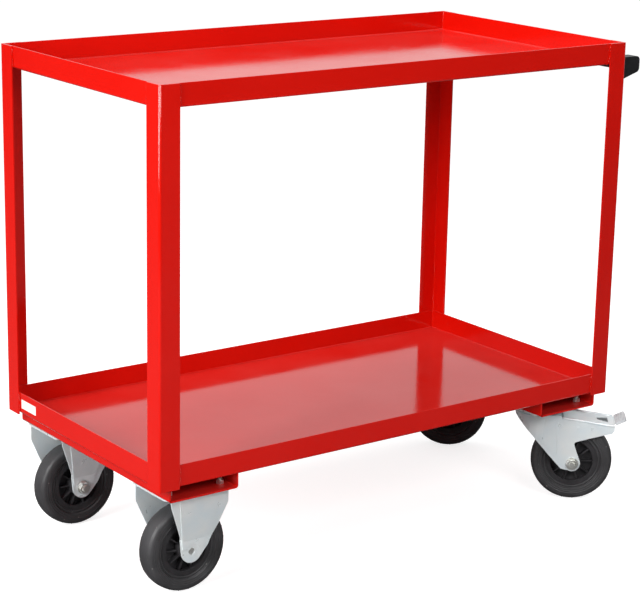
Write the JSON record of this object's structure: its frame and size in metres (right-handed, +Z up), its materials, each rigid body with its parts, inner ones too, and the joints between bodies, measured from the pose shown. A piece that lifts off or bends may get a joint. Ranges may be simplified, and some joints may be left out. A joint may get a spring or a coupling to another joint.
{
  "type": "tool cart",
  "caption": "Red sheet-steel tool cart with an upper and a lower tray, a black push handle, fixed casters at one end and braked swivel casters under the handle end",
  "frame": {"origin": "on the floor, under the middle of the cart's bounding box", "axes": "+X from the fixed-caster end to the handle end, +Y to the back long side, +Z up"},
  "size_m": [1.083, 0.5834, 0.91],
  "materials": {
    "paint": "glossy",
    "zinc": "satin",
    "bolt_zinc": "satin",
    "tube_steel": "satin",
    "black_plastic": "matte",
    "grey_plastic": "matte",
    "rubber": "matte",
    "label": "matte"
  },
  "bodies": {
    "frame": {"post_front_left": "paint", "post_front_right": "paint", "post_back_left": "paint", "post_back_right": "paint", "upper_tray": "paint", "lower_tray": "paint", "weld_beads": "paint", "channel_left": "paint", "channel_right": "paint", "channel_bolts_left": "bolt_zinc", "channel_bolts_right": "bolt_zinc", "blank_label": "label", "handle_bracket_front": "black_plastic", "handle_bracket_back": "black_plastic", "handle_tube": "tube_steel", "handle_grip": "black_plastic", "handle_bolts": "bolt_zinc", "fixed_front_fork": "zinc", "fixed_front_axle_bolt": "bolt_zinc", "fixed_front_axle_nut": "bolt_zinc", "fixed_front_sleeve": "bolt_zinc", "swivel_front_plate": "zinc", "swivel_front_kingpin": "zinc", "fixed_back_fork": "zinc", "fixed_back_axle_bolt": "bolt_zinc", "fixed_back_axle_nut": "bolt_zinc", "fixed_back_sleeve": "bolt_zinc", "swivel_back_plate": "zinc", "swivel_back_kingpin": "zinc"},
    "wheel_fixed_front": {"fixed_front_roller_cage": "tube_steel", "fixed_front_rim": "black_plastic", "fixed_front_tyre": "rubber"},
    "swivel_front": {"swivel_front_fork": "zinc", "swivel_front_balls": "tube_steel", "swivel_front_axle_bolt": "bolt_zinc", "swivel_front_axle_nut": "bolt_zinc", "swivel_front_sleeve": "bolt_zinc", "swivel_front_brake_pin": "zinc"},
    "wheel_swivel_front": {"swivel_front_roller_cage": "tube_steel", "swivel_front_rim": "black_plastic", "swivel_front_tyre": "rubber"},
    "brake_front": {"swivel_front_brake_lever": "zinc", "swivel_front_pedal_pad": "grey_plastic"},
    "wheel_fixed_back": {"fixed_back_roller_cage": "tube_steel", "fixed_back_rim": "black_plastic", "fixed_back_tyre": "rubber"},
    "swivel_back": {"swivel_back_fork": "zinc", "swivel_back_balls": "tube_steel", "swivel_back_axle_bolt": "bolt_zinc", "swivel_back_axle_nut": "bolt_zinc", "swivel_back_sleeve": "bolt_zinc", "swivel_back_brake_pin": "zinc"},
    "wheel_swivel_back": {"swivel_back_roller_cage": "tube_steel", "swivel_back_rim": "black_plastic", "swivel_back_tyre": "rubber"},
    "brake_back": {"swivel_back_brake_lever": "zinc", "swivel_back_pedal_pad": "grey_plastic"}
  },
  "joints": [
    {"name": "wheel_fixed_front_spin", "type": "hinge", "parent": "frame", "child": "wheel_fixed_front", "pos_m": [-0.4475, -0.16828, 0.08], "axis": [0, 1, 0], "continuous": true},
    {"name": "wheel_fixed_back_spin", "type": "hinge", "parent": "frame", "child": "wheel_fixed_back", "pos_m": [-0.4475, 0.21172, 0.08], "axis": [0, 1, 0], "continuous": true},
    {"name": "swivel_front_turn", "type": "hinge", "parent": "frame", "child": "swivel_front", "pos_m": [0.3945, -0.16828, 0.183], "axis": [0, 0, 1], "continuous": true},
    {"name": "wheel_swivel_front_spin", "type": "hinge", "parent": "swivel_front", "child": "wheel_swivel_front", "pos_m": [0.442, -0.20813, 0.08], "axis": [0.6428, 0.766, 0], "continuous": true},
    {"name": "brake_front_pedal", "type": "hinge", "parent": "swivel_front", "child": "brake_front", "pos_m": [0.42821, -0.19656, 0.165], "axis": [0.6428, 0.766, 0], "range_deg": [0, 8]},
    {"name": "swivel_back_turn", "type": "hinge", "parent": "frame", "child": "swivel_back", "pos_m": [0.3945, 0.21172, 0.183], "axis": [0, 0, 1], "continuous": true},
    {"name": "wheel_swivel_back_spin", "type": "hinge", "parent": "swivel_back", "child": "wheel_swivel_back", "pos_m": [0.442, 0.17187, 0.08], "axis": [0.6428, 0.766, 0], "continuous": true},
    {"name": "brake_back_pedal", "type": "hinge", "parent": "swivel_back", "child": "brake_back", "pos_m": [0.42821, 0.18344, 0.165], "axis": [0.6428, 0.766, 0], "range_deg": [0, 8]}
  ]
}
